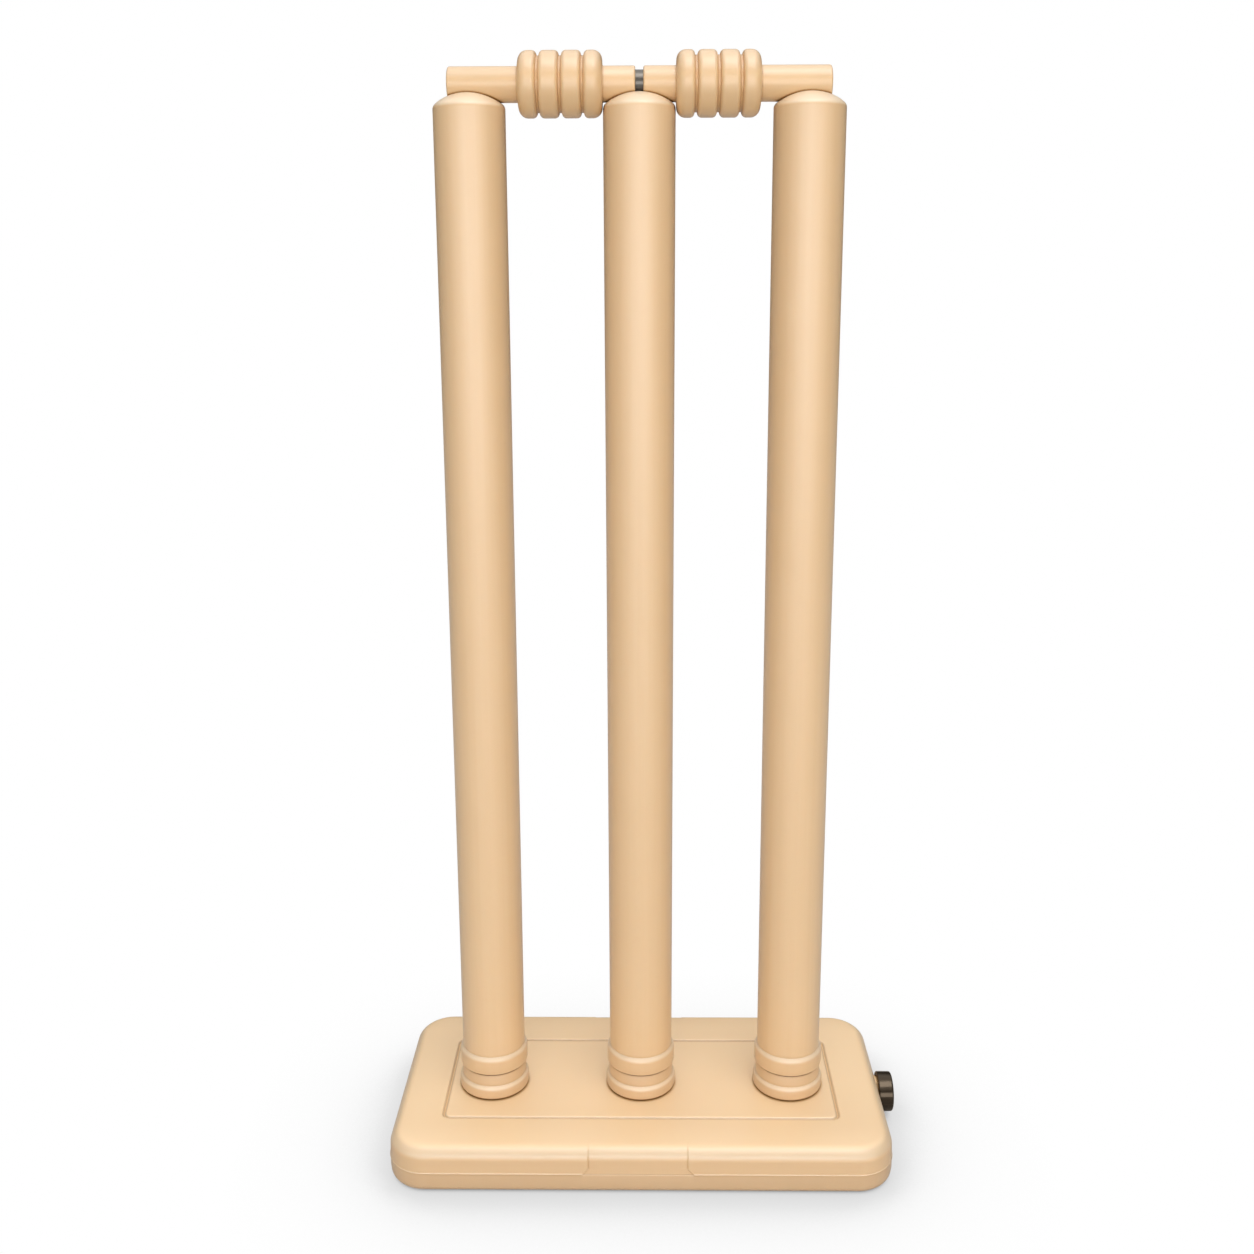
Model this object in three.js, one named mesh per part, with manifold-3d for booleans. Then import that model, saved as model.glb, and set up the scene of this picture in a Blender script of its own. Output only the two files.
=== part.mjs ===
import * as THREE from "three";
import { mergeVertices } from "three/addons/utils/BufferGeometryUtils.js";
import Module from "manifold-3d";

// Cricket stumps: three hollow moulded stumps plugged into a hollow base that is filled with
// water or sand, with two bails joined by a peg across their heads.
// Sizes are in millimetres. +Z is up, +X runs along the row of stumps and -Y is the front.
// The origin lies under the middle stump, on the surface that the base stands on.

// Shares, counts and finish of the facets
const ROUND_SEGMENTS = 28;
const ARC_STEPS = 3;
const DOME_STEPS = 5;
const CORNER_STEPS = 6;

// Fits
const OVERRUN = 1;
const SEAT_GAP = 0.3;
const PLUG_CLEARANCE = 0.3;
const BAIL_CLEARANCE = 0.3;
const PEG_CLEARANCE = 0.3;
const THREAD_CLEARANCE = 0.7;

// Row of stumps
const STUMP_PITCH = 100;
const STUMP_RADIUS = 21.3;
const SHAFT_FOOT_RADIUS = 20.8;
const STUMP_WALL = 2.2;
const SHOULDER_HEIGHT = 637.3;

// Head of a stump, above its shoulder
const SHOULDER_FILLET = 4;
const DOME_RADIUS = 30;
const GROOVE_FLOOR_RISE = 3.5;

// Foot of a stump, above the top of the base
const LOWER_RING_RADIUS = 23.2;
const LOWER_RING_HEIGHT = 9.7;
const LOWER_RING_ROUNDING = 4;
const LOWER_RING_UNDERCUT = 1.6;
const WAIST_RADIUS = 21.1;
const WAIST_HEIGHT = 8;
const CREASE_HEIGHT = 0.8;
const CREASE_DEPTH = 0.6;
const UPPER_RING_RADIUS = 22.6;
const UPPER_RING_HEIGHT = 12.4;
const UPPER_RING_ROUNDING = 4;
const UPPER_RING_UNDERCUT = 0.8;

// Plug of a stump and its socket in the base
const PLUG_RADIUS = 17.5;
const PLUG_LENGTH = 21;
const PLUG_CHAMFER = 1.5;
const SOCKET_FLOOR_CLEARANCE = 1;

// Bails
const BAIL_TAIL_RADIUS = 10.25;
const BAIL_WALL = 1.95;
const BARREL_RADIUS = 19;
const BARREL_LENGTH = 49;
const BARREL_END_ROUNDING = 5.5;
const BARREL_HEAD_GAP = 0.3;
const RIB_COUNT = 4;
const RIB_PITCH = 13;
const RIB_ROUNDING = 2.7;
const RIB_GROOVE_DEPTH = 3;
const RIB_GROOVE_FLOOR = 1.6;
const BAIL_OVERHANG = 11.8;
const TAIL_END_ROUNDING = 1.2;
const INNER_END_GAP = 4.7;

// Peg that joins the bails
const PEG_INSERTION = 14;
const PEG_CHAMFER = 1;

// Base, with its outline as margins round the groove frame
const BASE_SIDE_MARGIN = 32.3;
const BASE_FRONT_MARGIN = 31.8;
const BASE_BACK_MARGIN = 36;
const BASE_HEIGHT = 31;
const BASE_CORNER_RADIUS = 25;
const BASE_TOP_ROUNDING = 8.5;
const BASE_BOTTOM_ROUNDING = 5;
const BASE_WALL = 2.5;
const SEAM_HEIGHT = 13.5;
const SEAM_STEP = 0.4;
const SEAM_CHAMFER = 0.3;
const SIDE_DRAFT = 0.3;

// Groove frame on top of the base, with its outline as margins round the foot rings
const FRAME_SIDE_MARGIN = 8;
const FRAME_FRONT_MARGIN = 18.8;
const FRAME_BACK_MARGIN = 26.2;
const FRAME_GROOVE_WIDTH = 2.8;
const FRAME_GROOVE_DEPTH = 0.9;
const FRAME_CORNER_RADIUS = 6;

// Plain band in the middle of the front and back faces
const BAND_WIDTH = 62;
const BAND_CHAMFER = 4;

// Filler neck, cap and seal, on the right side of the base
const NECK_SETBACK = 12;
const NECK_RADIUS = 9.5;
const NECK_BORE_RADIUS = 7;
const CAP_RADIUS = 12.9;
const CAP_LENGTH = 10;
const CAP_TOP = 2;
const CAP_CHAMFER = 1.4;
const CAP_STANDOFF = 0.4;
const SEAL_THICKNESS = 1.5;

// Sizes that follow from those above
const headCentreDrop = Math.sqrt(
  (DOME_RADIUS - SHOULDER_FILLET) ** 2 - (STUMP_RADIUS - SHOULDER_FILLET) ** 2,
);
const grooveRadius = BAIL_TAIL_RADIUS + BAIL_CLEARANCE;
const bailAxisHeight = SHOULDER_HEIGHT + GROOVE_FLOOR_RISE + grooveRadius;
const socketRadius = PLUG_RADIUS + PLUG_CLEARANCE;
const socketDepth = PLUG_LENGTH + SOCKET_FLOOR_CLEARANCE;
const innerTailLength = STUMP_RADIUS + BARREL_HEAD_GAP - INNER_END_GAP / 2;
const bailLength = STUMP_PITCH + BAIL_OVERHANG - INNER_END_GAP / 2;
const bailBoreRadius = BAIL_TAIL_RADIUS - BAIL_WALL;
const pegRadius = bailBoreRadius - PEG_CLEARANCE;
const frameHalfWidth = STUMP_PITCH + LOWER_RING_RADIUS + FRAME_SIDE_MARGIN;
const frameFront = LOWER_RING_RADIUS + FRAME_FRONT_MARGIN;
const frameBack = LOWER_RING_RADIUS + FRAME_BACK_MARGIN;
const wallOutside = frameHalfWidth + BASE_SIDE_MARGIN;
const baseFront = frameFront + BASE_FRONT_MARGIN;
const baseBack = frameBack + BASE_BACK_MARGIN;
const baseDepth = baseFront + baseBack;
const baseSetback = (baseBack - baseFront) / 2;
const neckHeight = BASE_HEIGHT / 2;
const neckLength = CAP_STANDOFF + CAP_LENGTH - CAP_TOP - SEAL_THICKNESS - 2 * SEAT_GAP;
const capBoreRadius = NECK_RADIUS + THREAD_CLEARANCE;

const wasm = await Module();
wasm.setup();

// Closed mesh to solid and back
function toSolid(geometry) {
  const bare = geometry.clone();
  bare.deleteAttribute("normal");
  bare.deleteAttribute("uv");
  const merged = mergeVertices(bare);
  const corners = merged.index.array;
  const triangles = [];
  for (let i = 0; i < corners.length; i += 3) {
    const [a, b, c] = [corners[i], corners[i + 1], corners[i + 2]];
    if (a !== b && b !== c && c !== a) {
      triangles.push(a, b, c);
    }
  }
  return new wasm.Manifold(new wasm.Mesh({
    numProp: 3,
    vertProperties: new Float32Array(merged.attributes.position.array),
    triVerts: new Uint32Array(triangles),
  }));
}

function toGeometry(solid) {
  const mesh = solid.getMesh();
  const geometry = new THREE.BufferGeometry();
  geometry.setAttribute("position", new THREE.BufferAttribute(mesh.vertProperties, 3));
  geometry.setIndex(new THREE.BufferAttribute(mesh.triVerts, 1));
  geometry.computeVertexNormals();
  return geometry;
}

// A profile of (radius, height) points that runs up the outside, spun about the Z axis
function spin(points) {
  return new THREE.LatheGeometry(points, ROUND_SEGMENTS).rotateX(Math.PI / 2);
}

// Points of an arc in a profile, from one angle to another
function arcPoints(centreX, centreY, radius, from, to, steps) {
  const points = [];
  for (let i = 0; i <= steps; i += 1) {
    const angle = from + ((to - from) * i) / steps;
    points.push(new THREE.Vector2(
      centreX + radius * Math.cos(angle),
      centreY + radius * Math.sin(angle),
    ));
  }
  return points;
}

function point(x, y) {
  return new THREE.Vector2(x, y);
}

function cylinderAlongX(radius, length, x, y, z) {
  return new THREE.CylinderGeometry(radius, radius, length, ROUND_SEGMENTS)
    .rotateZ(Math.PI / 2)
    .translate(x, y, z);
}

function cylinderAlongZ(radius, bottom, top, x, y) {
  return new THREE.CylinderGeometry(radius, radius, top - bottom, ROUND_SEGMENTS)
    .rotateX(Math.PI / 2)
    .translate(x, y, (top + bottom) / 2);
}

// Rounded rectangle, anticlockwise from its front left corner
function roundedOutline(halfWidth, halfDepth, radius) {
  const corners = [[-1, -1], [1, -1], [1, 1], [-1, 1]];
  const outline = [];
  corners.forEach(([sideX, sideY], index) => {
    const start = Math.PI + (index * Math.PI) / 2;
    outline.push(...arcPoints(
      sideX * (halfWidth - radius),
      sideY * (halfDepth - radius),
      radius,
      start,
      start + Math.PI / 2,
      CORNER_STEPS,
    ));
  });
  return outline;
}

// Closed solid through a stack of outlines that have the same number of points
function loft(sections) {
  const count = sections[0].outline.length;
  const positions = [];
  for (const { outline, z } of sections) {
    for (const corner of outline) {
      positions.push(corner.x, corner.y, z);
    }
  }
  const index = [];
  for (let ring = 0; ring + 1 < sections.length; ring += 1) {
    for (let i = 0; i < count; i += 1) {
      const a = ring * count + i;
      const b = ring * count + ((i + 1) % count);
      index.push(a, b, b + count, a, b + count, a + count);
    }
  }
  const last = (sections.length - 1) * count;
  for (let i = 1; i + 1 < count; i += 1) {
    index.push(0, i + 1, i);
    index.push(last, last + i, last + i + 1);
  }
  const geometry = new THREE.BufferGeometry();
  geometry.setAttribute("position", new THREE.Float32BufferAttribute(positions, 3));
  geometry.setIndex(index);
  return geometry;
}

// Profile of the base's side, as insets from the widest outline, a wall's depth inside the
// outer face. The lower half stands back at the seam, and both halves have draft.
function baseSideProfile(depth) {
  const bottomCentre = Math.max(BASE_BOTTOM_ROUNDING, depth);
  const topCentre = Math.max(BASE_TOP_ROUNDING, depth);
  const profile = [];
  for (const arc of arcPoints(bottomCentre, bottomCentre, bottomCentre - depth,
    -Math.PI / 2, -Math.PI, ARC_STEPS)) {
    profile.push({ inset: arc.x + SEAM_STEP + SIDE_DRAFT, z: arc.y });
  }
  profile.push({ inset: depth + SEAM_STEP, z: SEAM_HEIGHT });
  profile.push({ inset: depth, z: SEAM_HEIGHT + SEAM_CHAMFER });
  for (const arc of arcPoints(topCentre, BASE_HEIGHT - topCentre, topCentre - depth,
    Math.PI, Math.PI / 2, DOME_STEPS)) {
    profile.push({ inset: arc.x + SIDE_DRAFT, z: arc.y });
  }
  return profile;
}

function baseBody(profile) {
  return toSolid(loft(profile.map(({ inset, z }) => ({
    outline: roundedOutline(
      wallOutside - inset,
      baseDepth / 2 - inset,
      BASE_CORNER_RADIUS - inset,
    ),
    z,
  }))).translate(0, baseSetback, 0));
}

// The band leaves the seam flush: the sides there stand back as far as the lower half does.
function bandCut() {
  const half = BAND_WIDTH / 2;
  const top = BASE_HEIGHT + OVERRUN;
  const outline = new THREE.Shape([
    point(-half - BAND_CHAMFER, SEAM_HEIGHT),
    point(half + BAND_CHAMFER, SEAM_HEIGHT),
    point(half, SEAM_HEIGHT + BAND_CHAMFER),
    point(half, top),
    point(-half, top),
    point(-half, SEAM_HEIGHT + BAND_CHAMFER),
  ]);
  const length = baseDepth + 2 * OVERRUN;
  const slab = new THREE.ExtrudeGeometry(outline, { depth: length, bevelEnabled: false })
    .rotateX(Math.PI / 2)
    .translate(0, baseSetback + length / 2, 0);
  const core = baseSideProfile(0).map(({ inset, z }) => ({
    inset: z > SEAM_HEIGHT ? inset + SEAM_STEP : inset,
    z,
  }));
  const upper = core[core.length - 1];
  core.push({ inset: upper.inset, z: upper.z + 2 * OVERRUN });
  return toSolid(slab).subtract(baseBody(core));
}

function frameOutline(inset) {
  const middle = (frameBack - frameFront) / 2;
  return roundedOutline(
    frameHalfWidth - inset,
    (frameBack + frameFront) / 2 - inset,
    FRAME_CORNER_RADIUS - inset,
  ).map((corner) => point(corner.x, corner.y + middle));
}

function frameGrooveCut() {
  const outline = new THREE.Shape(frameOutline(0));
  outline.holes.push(new THREE.Path(frameOutline(FRAME_GROOVE_WIDTH)));
  const depth = FRAME_GROOVE_DEPTH + OVERRUN;
  return toSolid(new THREE.ExtrudeGeometry(outline, { depth, bevelEnabled: false })
    .translate(0, 0, BASE_HEIGHT - FRAME_GROOVE_DEPTH));
}

function baseShell() {
  const floor = BASE_HEIGHT - socketDepth;
  const insideWall = wallOutside - BASE_WALL;
  const neckEnd = wallOutside + neckLength;
  let shell = baseBody(baseSideProfile(0))
    .subtract(bandCut())
    .subtract(baseBody(baseSideProfile(BASE_WALL)));
  for (const side of [-1, 0, 1]) {
    const x = side * STUMP_PITCH;
    const well = cylinderAlongZ(
      socketRadius + BASE_WALL, floor - BASE_WALL, BASE_HEIGHT - BASE_WALL / 2, x, 0,
    );
    const bore = cylinderAlongZ(socketRadius, floor, BASE_HEIGHT + OVERRUN, x, 0);
    shell = shell.add(toSolid(well)).subtract(toSolid(bore));
  }
  const neck = cylinderAlongX(
    NECK_RADIUS, neckEnd - insideWall, (neckEnd + insideWall) / 2, NECK_SETBACK, neckHeight,
  );
  const boreStart = insideWall - OVERRUN;
  const boreEnd = neckEnd + OVERRUN;
  const neckBore = cylinderAlongX(
    NECK_BORE_RADIUS, boreEnd - boreStart, (boreEnd + boreStart) / 2, NECK_SETBACK, neckHeight,
  );
  return toGeometry(shell
    .add(toSolid(neck))
    .subtract(toSolid(neckBore))
    .subtract(frameGrooveCut()));
}

// A ring round the foot: undercut below, and rounded above into what it grows out of
function ringPoints(growsFrom, radius, bottom, top, rounding, undercut) {
  const centre = radius - rounding;
  const end = Math.acos(Math.min(1, Math.max(-1, (growsFrom - centre) / rounding)));
  return [
    ...arcPoints(radius - undercut, bottom + undercut, undercut, -Math.PI / 2, 0, ARC_STEPS - 1),
    ...arcPoints(centre, top - rounding * Math.sin(end), rounding, 0, end, ARC_STEPS),
  ];
}

// Inner and outer surface of a stump, from the top of the cavity down to the open end of the
// plug and up the outside to the dome. Heights are above the top of the base.
function stumpProfile() {
  const domeCentre = SHOULDER_HEIGHT - headCentreDrop;
  const filletCentre = STUMP_RADIUS - SHOULDER_FILLET;
  const tangent = Math.atan2(headCentreDrop, filletCentre);
  const waistTop = LOWER_RING_HEIGHT + WAIST_HEIGHT;
  const upperRingBottom = waistTop + CREASE_HEIGHT;
  const creaseRadius = WAIST_RADIUS - CREASE_DEPTH;
  const plugBore = PLUG_RADIUS - STUMP_WALL;
  const headCavity = STUMP_RADIUS - STUMP_WALL;
  const footCavity = SHAFT_FOOT_RADIUS - STUMP_WALL;
  const cavityTop = SHOULDER_HEIGHT + GROOVE_FLOOR_RISE - STUMP_WALL;
  return [
    point(0, cavityTop),
    point(headCavity - STUMP_WALL, cavityTop - STUMP_WALL / 2),
    point(headCavity, cavityTop - 2 * STUMP_WALL),
    point(footCavity, LOWER_RING_HEIGHT),
    point(plugBore, SEAT_GAP + STUMP_WALL),
    point(plugBore, -PLUG_LENGTH),
    point(PLUG_RADIUS - PLUG_CHAMFER, -PLUG_LENGTH),
    point(PLUG_RADIUS, PLUG_CHAMFER - PLUG_LENGTH),
    point(PLUG_RADIUS, SEAT_GAP),
    ...ringPoints(WAIST_RADIUS, LOWER_RING_RADIUS, SEAT_GAP, LOWER_RING_HEIGHT,
      LOWER_RING_ROUNDING, LOWER_RING_UNDERCUT),
    point(WAIST_RADIUS, waistTop),
    point(creaseRadius, waistTop),
    point(creaseRadius, upperRingBottom),
    ...ringPoints(SHAFT_FOOT_RADIUS, UPPER_RING_RADIUS, upperRingBottom,
      upperRingBottom + UPPER_RING_HEIGHT, UPPER_RING_ROUNDING, UPPER_RING_UNDERCUT),
    ...arcPoints(filletCentre, SHOULDER_HEIGHT, SHOULDER_FILLET, 0, tangent, ARC_STEPS),
    ...arcPoints(0, domeCentre, DOME_RADIUS, tangent, Math.PI / 2, DOME_STEPS).slice(1),
  ];
}

function stump() {
  const body = toSolid(spin(stumpProfile()));
  const groove = cylinderAlongX(grooveRadius, 2 * STUMP_RADIUS + 2 * OVERRUN, 0, 0,
    bailAxisHeight);
  return toGeometry(body.subtract(toSolid(groove)));
}

// Crowns of the barrel's ribs: rounded outer corners at both ends, and between neighbouring
// ribs a groove with rounded shoulders and a narrow floor.
function ribPoints(start) {
  const centre = BARREL_RADIUS - RIB_ROUNDING;
  const floor = BARREL_RADIUS - RIB_GROOVE_DEPTH;
  const half = RIB_GROOVE_FLOOR / 2;
  const spread = half + RIB_ROUNDING;
  const endCentre = BARREL_RADIUS - BARREL_END_ROUNDING;
  const points = [
    ...arcPoints(endCentre, start + BARREL_END_ROUNDING, BARREL_END_ROUNDING,
      -Math.PI / 2, 0, ARC_STEPS),
  ];
  for (let groove = 1; groove < RIB_COUNT; groove += 1) {
    const z = start + BARREL_LENGTH / 2 + (groove - RIB_COUNT / 2) * RIB_PITCH;
    points.push(...arcPoints(centre, z - spread, RIB_ROUNDING, 0, Math.PI / 2, ARC_STEPS - 1));
    points.push(point(floor, z - half), point(floor, z + half));
    points.push(...arcPoints(centre, z + spread, RIB_ROUNDING, -Math.PI / 2, 0, ARC_STEPS - 1));
  }
  points.push(...arcPoints(endCentre, start + BARREL_LENGTH - BARREL_END_ROUNDING,
    BARREL_END_ROUNDING, 0, Math.PI / 2, ARC_STEPS));
  return points;
}

// Outer and inner surface of a bail, from the mouth of its bore out along the outside to the
// closed tail end and back inside. Heights run outward from the bail's inner end.
function bailProfile() {
  const barrelEnd = innerTailLength + BARREL_LENGTH;
  const barrelCavity = BARREL_RADIUS - RIB_GROOVE_DEPTH - BAIL_WALL;
  return [
    point(0, bailLength - BAIL_WALL),
    point(bailBoreRadius, bailLength - BAIL_WALL),
    point(bailBoreRadius, barrelEnd),
    point(barrelCavity, barrelEnd - BARREL_END_ROUNDING),
    point(barrelCavity, innerTailLength + BARREL_END_ROUNDING),
    point(bailBoreRadius, innerTailLength),
    point(bailBoreRadius, 0),
    ...arcPoints(BAIL_TAIL_RADIUS - TAIL_END_ROUNDING, TAIL_END_ROUNDING, TAIL_END_ROUNDING,
      -Math.PI / 2, 0, ARC_STEPS - 1),
    point(BAIL_TAIL_RADIUS, innerTailLength),
    ...ribPoints(innerTailLength),
    point(BAIL_TAIL_RADIUS, barrelEnd),
    ...arcPoints(BAIL_TAIL_RADIUS - TAIL_END_ROUNDING, bailLength - TAIL_END_ROUNDING,
      TAIL_END_ROUNDING, 0, Math.PI / 2, ARC_STEPS - 1),
    point(0, bailLength),
  ];
}

// A bail that points to one side, placed by its inner end
function bail(side) {
  const turned = spin(bailProfile()).rotateY((side * Math.PI) / 2);
  return toGeometry(toSolid(turned));
}

function peg() {
  const half = INNER_END_GAP / 2 + PEG_INSERTION;
  const profile = [
    point(0, -half),
    point(pegRadius - PEG_CHAMFER, -half),
    point(pegRadius, PEG_CHAMFER - half),
    point(pegRadius, half - PEG_CHAMFER),
    point(pegRadius - PEG_CHAMFER, half),
    point(0, half),
  ];
  return toGeometry(toSolid(spin(profile).rotateY(Math.PI / 2)));
}

// The cap's open end faces the base. Its profile runs outward from that end.
function cap() {
  const profile = [
    point(0, CAP_LENGTH - CAP_TOP),
    point(capBoreRadius, CAP_LENGTH - CAP_TOP),
    point(capBoreRadius, 0),
    point(CAP_RADIUS - CAP_CHAMFER / 2, 0),
    point(CAP_RADIUS, CAP_CHAMFER / 2),
    ...arcPoints(CAP_RADIUS - CAP_CHAMFER, CAP_LENGTH - CAP_CHAMFER, CAP_CHAMFER,
      0, Math.PI / 2, ARC_STEPS),
    point(0, CAP_LENGTH),
  ];
  return toGeometry(toSolid(spin(profile).rotateY(Math.PI / 2)));
}

function seal() {
  const outer = capBoreRadius - SEAT_GAP;
  const profile = [
    point(NECK_BORE_RADIUS, 0),
    point(outer, 0),
    point(outer, SEAL_THICKNESS),
    point(NECK_BORE_RADIUS, SEAL_THICKNESS),
    point(NECK_BORE_RADIUS, 0),
  ];
  return toGeometry(toSolid(spin(profile).rotateY(Math.PI / 2)));
}

// Materials
function plastic(colour, roughness, metalness) {
  return new THREE.MeshStandardMaterial({ color: colour, roughness, metalness });
}

const tan = "#e6c095";
const gunmetal = "#4a4036";
const black = "#1c1b1a";

function addPart(group, name, geometry, material, x, y, z) {
  const mesh = new THREE.Mesh(geometry, material);
  mesh.name = name;
  mesh.position.set(x, y, z);
  group.add(mesh);
}

const stumps = new THREE.Group();

addPart(stumps, "base_shell", baseShell(), plastic(tan, 0.45, 0), 0, 0, 0);

// Stumps, plugged into the base
[["stump_left", -1], ["stump_middle", 0], ["stump_right", 1]].forEach(([name, side]) => {
  addPart(stumps, name, stump(), plastic(tan, 0.4, 0), side * STUMP_PITCH, 0, BASE_HEIGHT);
});

// Bails and their peg, in the grooves of the heads
const bails = new THREE.Group();
bails.position.set(0, 0, BASE_HEIGHT + bailAxisHeight);
stumps.add(bails);
[["bail_left", -1], ["bail_right", 1]].forEach(([name, side]) => {
  addPart(bails, name, bail(side), plastic(tan, 0.4, 0), (side * INNER_END_GAP) / 2, 0, 0);
});
addPart(bails, "bail_joiner", peg(), plastic(gunmetal, 0.35, 0.4), 0, 0, 0);

// Cap and seal, on the filler neck
const filler = new THREE.Group();
filler.position.set(wallOutside, NECK_SETBACK, neckHeight);
stumps.add(filler);
addPart(filler, "filler_cap", cap(), plastic(gunmetal, 0.3, 0.4), CAP_STANDOFF, 0, 0);
addPart(filler, "cap_seal", seal(), plastic(black, 0.8, 0), neckLength + SEAT_GAP, 0, 0);

export default stumps;
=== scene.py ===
import math

import bmesh
import bpy
import numpy as np
from mathutils import Matrix, Vector


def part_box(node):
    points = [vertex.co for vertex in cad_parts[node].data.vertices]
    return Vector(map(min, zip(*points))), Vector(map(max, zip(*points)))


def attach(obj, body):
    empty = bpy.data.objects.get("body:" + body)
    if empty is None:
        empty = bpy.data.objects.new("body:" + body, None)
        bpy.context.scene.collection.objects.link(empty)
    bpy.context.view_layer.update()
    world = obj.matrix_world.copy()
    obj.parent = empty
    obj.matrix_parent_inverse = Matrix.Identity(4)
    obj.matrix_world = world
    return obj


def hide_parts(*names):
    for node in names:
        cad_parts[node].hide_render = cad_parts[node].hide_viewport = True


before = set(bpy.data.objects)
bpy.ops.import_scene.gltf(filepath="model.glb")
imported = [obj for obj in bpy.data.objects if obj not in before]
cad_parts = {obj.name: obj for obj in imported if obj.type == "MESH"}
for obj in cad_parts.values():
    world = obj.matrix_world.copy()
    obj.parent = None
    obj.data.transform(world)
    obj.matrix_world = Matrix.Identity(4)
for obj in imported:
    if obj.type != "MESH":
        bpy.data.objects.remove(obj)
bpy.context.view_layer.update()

# Moulded cricket stumps: a hollow base that is filled with water or sand, three stumps plugged
# into it and two bails joined by a peg. Sizes are in millimetres, and MM turns them to metres.
# +Z is up, +X runs along the row of stumps towards the filler cap, and -Y is the front.
MM = 0.001

# Stumps, with heights above the top of the base
SIDES = ("left", "middle", "right")
STUMP_RADIUS = 21.3
SHAFT_FOOT_RADIUS = 20.8
STUMP_WALL = 2.2
SHOULDER_HEIGHT = 637.3
SHOULDER_FILLET = 4
DOME_RADIUS = 30
GROOVE_FLOOR_RISE = 3.5
GROOVE_LIP_SOFTNESS = 0.9
GROOVE_SIDE_SLOPE = 40
LOWER_RING = {"radius": 23.2, "bottom": 0.3, "top": 9.7, "rounding": 4.6, "undercut": 1.7}
UPPER_RING = {"radius": 22.6, "bottom": 18.5, "top": 30.6, "rounding": 5, "undercut": 0.8}
RING_FILLET = 0.7
WAIST_RADIUS = 21.5
WAIST_TOP = 17.7
PLUG_RADIUS = 17.5
PLUG_LENGTH = 21
PLUG_CHAMFER = 1.5
PLUG_MOUTH_ROUNDING = 0.5
SEAT_GAP = 0.3
SEAT_FILLET = 0.3
PARTING_LINE_HEIGHT = 0.05
# The crease above the waist, upwards: depth into the waist, and height past the waist's top
CREASE_SECTION = ((0, -0.3), (0.1, -0.08), (0.8, 0.2), (0.9, 0.4), (0.8, 0.6))

# Bails and the peg between them
BAIL_TAIL_RADIUS = 10.25
BAIL_CLEARANCE = 0.3
BAIL_WALL = 1.95
BARREL_RADIUS = 19
BARREL_LENGTH = 49
BARREL_END_ROUNDING = 5.5
BARREL_END_STEPS = 14
BARREL_ROOT_FILLET = 0.8
INNER_TAIL_LENGTH = 19.25
OUTER_TAIL_LENGTH = 41.2
TAIL_END_ROUNDING = 1.2
BORE_MOUTH_ROUNDING = 0.4
RIB_COUNT = 4
RIB_PITCH = 13
RIB_ROUNDING = 2.7
RIB_GROOVE_DEPTH = 3
RIB_GROOVE_FLOOR = 1.6
RIB_GROOVE_FILLET = 0.3
RIB_STEPS = 10
PEG_RADIUS = 8.0
PEG_CHAMFER = 1

# Base, with its profile as insets from its widest outline. The top rounding ends at an angle in
# degrees, a little short of level, where the crown takes over
BASE_CORNER_RADIUS = 25
BASE_HEIGHT = 31
BASE_TOP_ROUNDING = 8.5
BASE_BOTTOM_ROUNDING = 5
TOP_ROUNDING_END = 94
SIDE_DRAFT = 0.3
SEAM_HEIGHT = 13.5
SEAM_RIDGE = 0.32
SEAM_RIDGE_TOP = 1.2
BAND_DEPTH = 0.4
BAND_CENTRE = -1.7
BAND_HALF_WIDTH = 31.6
BAND_CHAMFER = 4
BAND_EDGE_SOFTNESS = 0.3
BAND_EDGE_REACH = 0.6
BAND_FOOT_SOFTNESS = 5
BAND_LINE_DEPTH = 0.35
CROWN_DROP = 0.6
CROWN_REACH = 24
FRAME_HALF_WIDTH = 131.2
FRAME_FRONT = 42
FRAME_BACK = 49.4
FRAME_CORNER_RADIUS = 6
# The groove frame, from its outer edge inward: inset and drop
FRAME_SECTION = (
    (-0.8, 0), (-0.35, 0), (-0.1, -0.05), (0.2, -0.25), (0.6, -0.65), (0.95, -1.0), (1.2, -1.15),
    (1.45, -1.2), (1.7, -1.15), (1.95, -1.0), (2.3, -0.65), (2.7, -0.25), (3.0, -0.05), (3.3, 0),
    (4.0, 0),
)
# The ring in the underside, as shares of its edge's width and depth
UNDERSIDE_RING = (0.99, 0.98)
SOCKET_RADIUS = 17.8
SOCKET_DEPTH = 22
SOCKET_RIM_ROUNDING = 0.7
SOCKET_RIM_FLAT = 0.7
SOCKET_FLOOR_FILLET = 1

# Filler neck, cap and seal
NECK_RADIUS = 9.5
NECK_BORE_RADIUS = 7
NECK_DEPTH_IN_WALL = 6
NECK_FLOOR = 1
NECK_LIP_ROUNDING = 0.5
# The neck's root, down into the wall: how far out of the neck's side, and how far out of the wall
NECK_ROOT = ((0, 0.6), (0.25, 0.1), (0.7, -0.4), (0.7, -NECK_DEPTH_IN_WALL))
THREAD_PITCH = 3
THREAD_TURNS = 1.0
THREAD_START = 1.3
THREAD_HEIGHT = 0.42
THREAD_WIDTH = 1.1
# Each end of the ridge tapers over a ninth of its length, down to a share of its height
THREAD_TAPER = 9.0
THREAD_THINNEST = 0.05
CAP_TOP = 2
CAP_CHAMFER = 1.4
CAP_BORE_RADIUS = 10.2
CAP_BORE_ROUNDING = 0.4
CAP_MOUTH_ROUNDING = 0.3
CAP_EDGE_ROUNDING = 0.7
SEAL_ROUNDING = 0.3

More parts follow.
